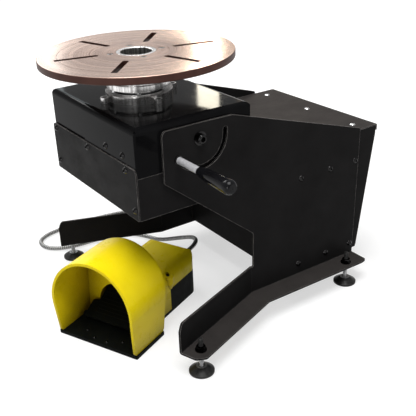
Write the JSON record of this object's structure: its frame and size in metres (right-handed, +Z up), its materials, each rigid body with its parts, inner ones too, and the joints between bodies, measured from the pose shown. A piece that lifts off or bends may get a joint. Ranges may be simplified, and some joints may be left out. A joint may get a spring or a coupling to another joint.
{
  "type": "welding positioner",
  "caption": "Bench welding positioner: slotted turntable on a tilting drive head between folded side plates, with a control cabinet behind and a hooded foot pedal on a metal conduit.",
  "frame": {"origin": "on the floor, under the table's axis, in the mid-plane between the side plates, with the head level", "axes": "+Z up along the table's axis; +X towards the clamp handle; the operator stands at -Y and the cabinet is at +Y"},
  "size_m": [0.8359, 0.8319, 0.586],
  "materials": {
    "black_sheet": "semi-gloss black powder coat, folded steel sheet",
    "black_gloss": "glossy black powder coat on the head's covers",
    "turned_face": "face-turned steel with a warm sheen, concentric lathe marks",
    "bright_steel": "fine-turned bright steel",
    "dark_steel": "blackened steel",
    "black_fastener": "black oxide screws",
    "zinc_fastener": "bright zinc screws",
    "bearing_steel": "polished bearing steel",
    "seal_rubber": "black nitrile",
    "bronze": "bearing bronze",
    "motor_casting": "grey cast gear case",
    "copper_graphite": "copper-graphite brush",
    "insulator": "brown phenolic",
    "black_plastic": "black moulded plastic",
    "grip_plastic": "glossy black phenolic grip",
    "signal_yellow": "yellow enamel",
    "pedal_black": "black cast base with a textured coat",
    "conduit_steel": "galvanised spiral conduit",
    "circuit_board": "green circuit board",
    "galvanised": "galvanised sheet",
    "spring_steel": "spring wire"
  },
  "bodies": {
    "base": {"cabinet_body": "black_sheet", "cabinet_cover": "black_sheet", "cabinet_cover_screws": "zinc_fastener", "cabinet_rear_panel": "black_sheet", "conduit_glands": "zinc_fastener", "control_board": "circuit_board", "earth_socket": "black_plastic", "levelling_nuts": "black_fastener", "mains_inlet": "black_plastic", "panel_controls": "zinc_fastener", "pedal_base": "pedal_black", "pedal_conduit": "conduit_steel", "pedal_cover": "signal_yellow", "pedal_hood": "signal_yellow", "pedal_screws": "black_fastener", "pedal_switch": "black_plastic", "pivot_bushes": "bronze", "plate_screws": "black_fastener", "power_supply": "galvanised", "rear_panel_screws": "black_fastener", "rocker_frame": "black_plastic", "side_plate_left": "black_sheet", "side_plate_right": "black_sheet", "treadle_pin": "bright_steel", "treadle_spring": "spring_steel"},
    "head": {"head_tub": "black_sheet", "head_front_panel": "black_sheet", "head_cover_right": "black_gloss", "head_cover_left": "black_gloss", "head_screws": "black_fastener", "carrier_frame": "dark_steel", "bearing_housing": "bright_steel", "upper_bearing": "bearing_steel", "lower_bearing": "bearing_steel", "housing_seal": "seal_rubber", "housing_bolts": "bright_steel", "gear_motor": "motor_casting", "earth_brush_holder": "insulator", "earth_brush": "copper_graphite", "pivot_bolts": "black_fastener", "thrust_washers": "bronze"},
    "table": {"table_disc": "turned_face", "table_hub": "bright_steel", "spindle": "bright_steel", "spindle_gear": "dark_steel", "spindle_locknut": "dark_steel", "table_screws": "bright_steel", "flange_screws": "zinc_fastener"},
    "pinion": {"pinion": "dark_steel"},
    "clamp": {"clamp_rod": "bright_steel", "clamp_grip": "grip_plastic", "clamp_washer": "black_fastener"},
    "treadle": {"pedal_treadle": "pedal_black"},
    "foot_front_right": {"foot_front_right": "black_plastic"},
    "foot_rear_right": {"foot_rear_right": "black_plastic"},
    "foot_front_left": {"foot_front_left": "black_plastic"},
    "foot_rear_left": {"foot_rear_left": "black_plastic"},
    "rocker": {"power_rocker": "black_plastic"},
    "knob": {"speed_knob": "black_plastic"},
    "toggle": {"direction_toggle": "bearing_steel"}
  },
  "joints": [
    {"name": "head_tilt", "type": "hinge", "parent": "base", "child": "head", "pos_m": [0, 0.018, 0.45], "axis": [1, 0, 0], "range_deg": [0, 135]},
    {"name": "table_spin", "type": "hinge", "parent": "head", "child": "table", "pos_m": [0, 0, 0.45], "axis": [0, 0, 1], "continuous": true},
    {"name": "pinion_spin", "type": "hinge", "parent": "head", "child": "pinion", "pos_m": [0, 0.09375, 0.36], "axis": [0, 0, 1], "continuous": true},
    {"name": "clamp_turn", "type": "hinge", "parent": "head", "child": "clamp", "pos_m": [0.2, -0.03288, 0.4182], "axis": [1, 0, 0], "range_deg": [-90, 270]},
    {"name": "treadle_press", "type": "hinge", "parent": "base", "child": "treadle", "pos_m": [0.06469, -0.13923, 0.0165], "axis": [-0.9081, -0.4187, 0], "range_deg": [0, 6], "stiffness_Nm_per_rad": 6, "springref_deg": -9.17, "deforming": ["treadle_spring"]},
    {"name": "level_front_right", "type": "slide", "parent": "base", "child": "foot_front_right", "axis": [0, 0, 1], "range_m": [-0.008, 0.01]},
    {"name": "level_rear_right", "type": "slide", "parent": "base", "child": "foot_rear_right", "axis": [0, 0, 1], "range_m": [-0.008, 0.01]},
    {"name": "level_front_left", "type": "slide", "parent": "base", "child": "foot_front_left", "axis": [0, 0, 1], "range_m": [-0.008, 0.01]},
    {"name": "level_rear_left", "type": "slide", "parent": "base", "child": "foot_rear_left", "axis": [0, 0, 1], "range_m": [-0.008, 0.01]},
    {"name": "rocker_tilt", "type": "hinge", "parent": "base", "child": "rocker", "pos_m": [0.115, 0.48229, 0.15925], "axis": [1, 0, 0], "range_deg": [0, 18]},
    {"name": "knob_turn", "type": "hinge", "parent": "base", "child": "knob", "pos_m": [0.04, 0.5035, 0.2573], "axis": [0, 0.9911, -0.1328], "range_deg": [-150, 150]},
    {"name": "toggle_tip", "type": "hinge", "parent": "base", "child": "toggle", "pos_m": [-0.05, 0.49854, 0.25796], "axis": [0, 0.1328, 0.9911], "range_deg": [-14, 14]}
  ],
  "couplings": [
    {"joint": "pinion_spin", "follows": "table_spin", "ratio": -4}
  ]
}
